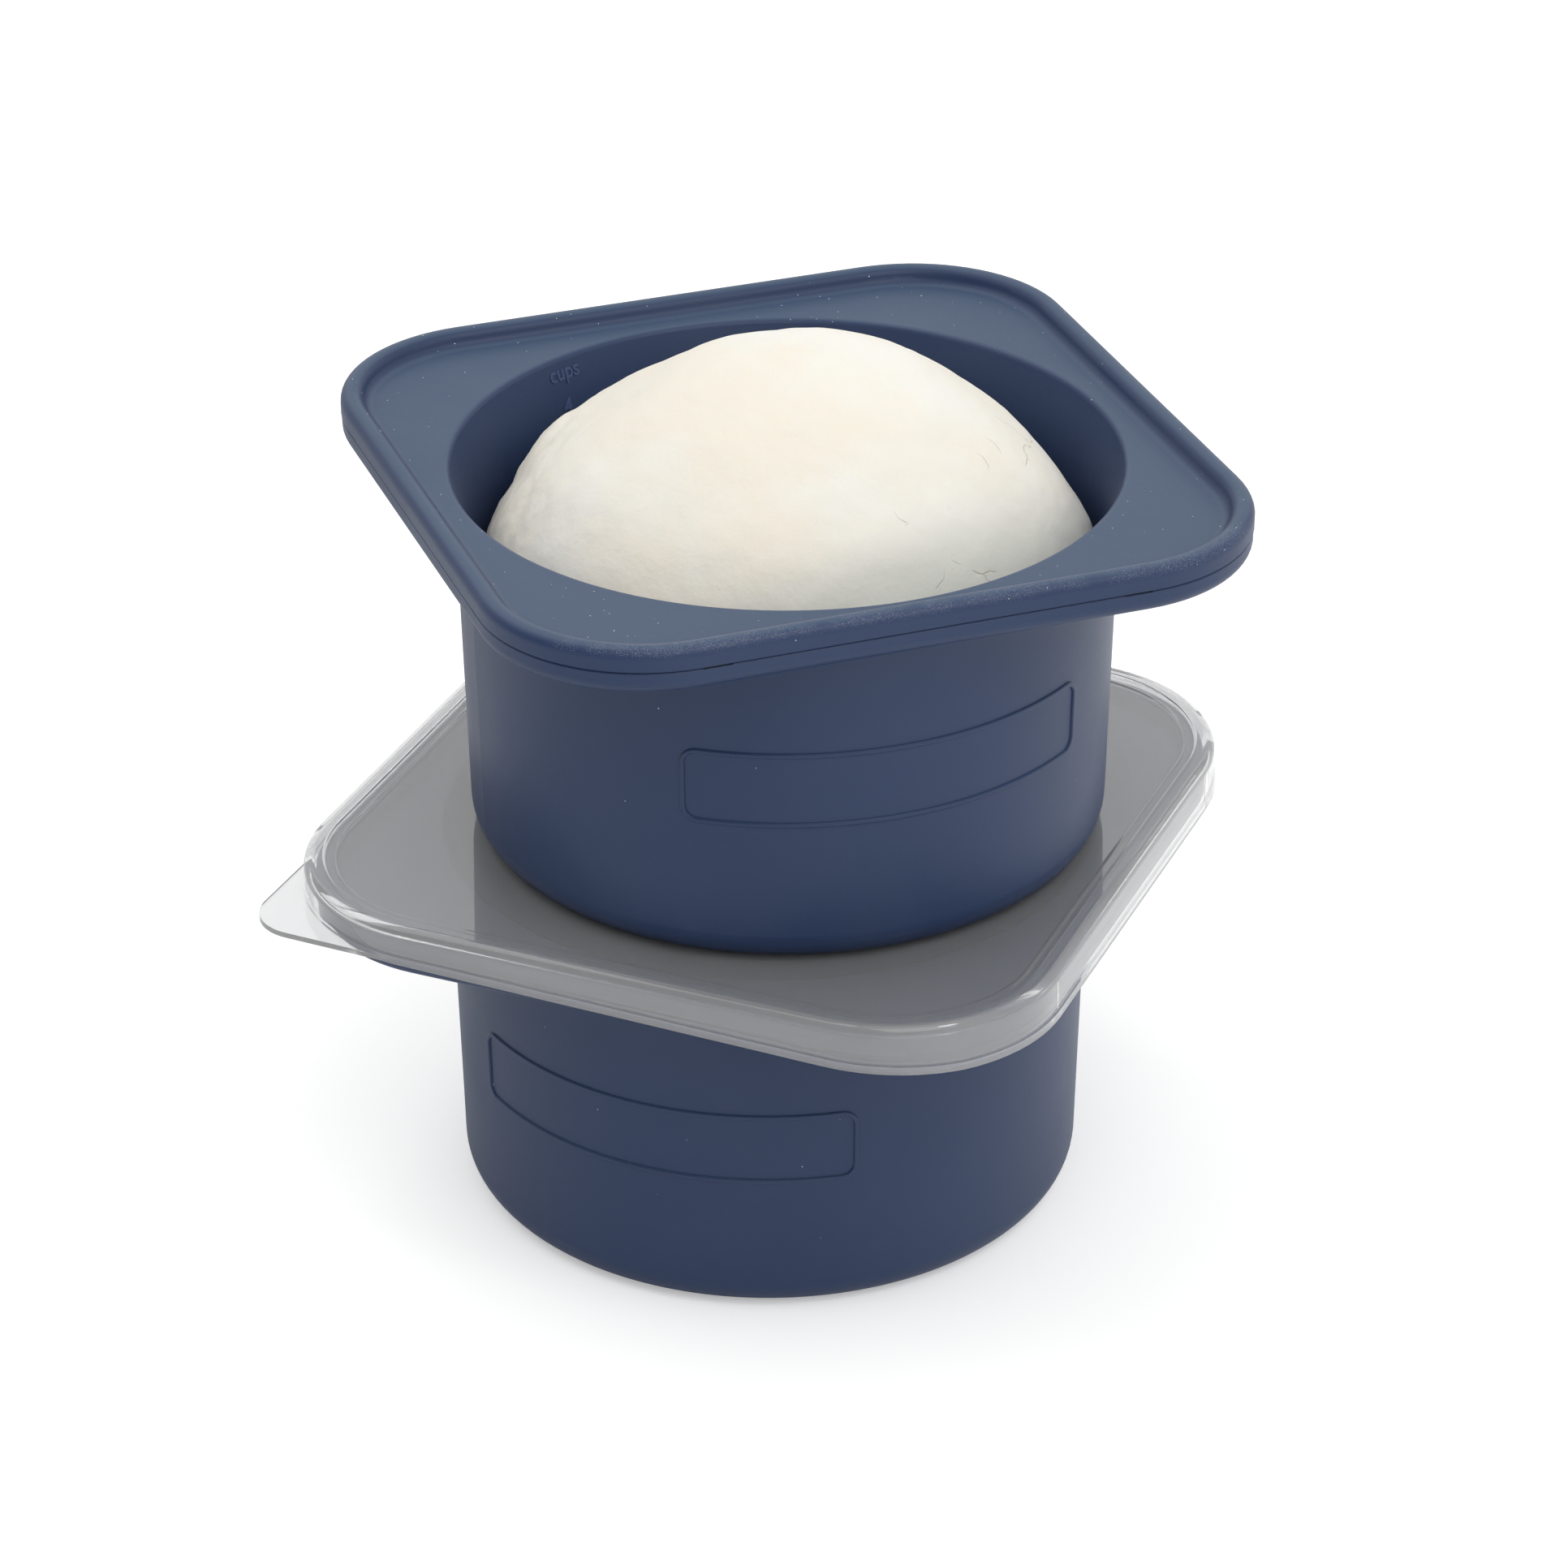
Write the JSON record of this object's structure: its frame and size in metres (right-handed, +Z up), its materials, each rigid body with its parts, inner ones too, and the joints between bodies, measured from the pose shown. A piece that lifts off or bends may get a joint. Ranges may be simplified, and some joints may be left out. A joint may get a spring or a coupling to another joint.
{
  "type": "dough proofing container",
  "caption": "Soft silicone proofing container: a round bowl under a rounded-square flange, closed by a skirted lid with a pull tab, carrying a like container that holds risen dough.",
  "frame": {"origin": "centre of the lower container's base, on the face it stands on", "axes": "+Z up along the bowl's axis; the lower rim's and the lid's straight sides lie along X and Y, and the lid's pull tab is at the (-X, -Y) corner"},
  "size_m": [0.2006, 0.2006, 0.1928],
  "materials": {
    "silicone": "smooth satin silicone, slate blue",
    "steel": "bright drawn wire",
    "lid": "glossy milky translucent plastic",
    "dough": "matte dough skin"
  },
  "bodies": {
    "lower": {"lower_container": "silicone", "lower_rim_frame": "steel"},
    "lid": {"lid": "lid"},
    "upper": {"upper_container": "silicone", "upper_rim_frame": "steel"},
    "dough": {"dough": "dough"}
  },
  "joints": [
    {"name": "lid_lift", "type": "slide", "parent": "lower", "child": "lid", "axis": [0, 0, 1], "range_m": [0, 0.1]},
    {"name": "upper_lift", "type": "slide", "parent": "lid", "child": "upper", "axis": [0, 0, 1], "range_m": [0, 0.1]},
    {"name": "dough_lift", "type": "slide", "parent": "upper", "child": "dough", "axis": [0, 0, 1], "range_m": [0, 0.1]}
  ]
}
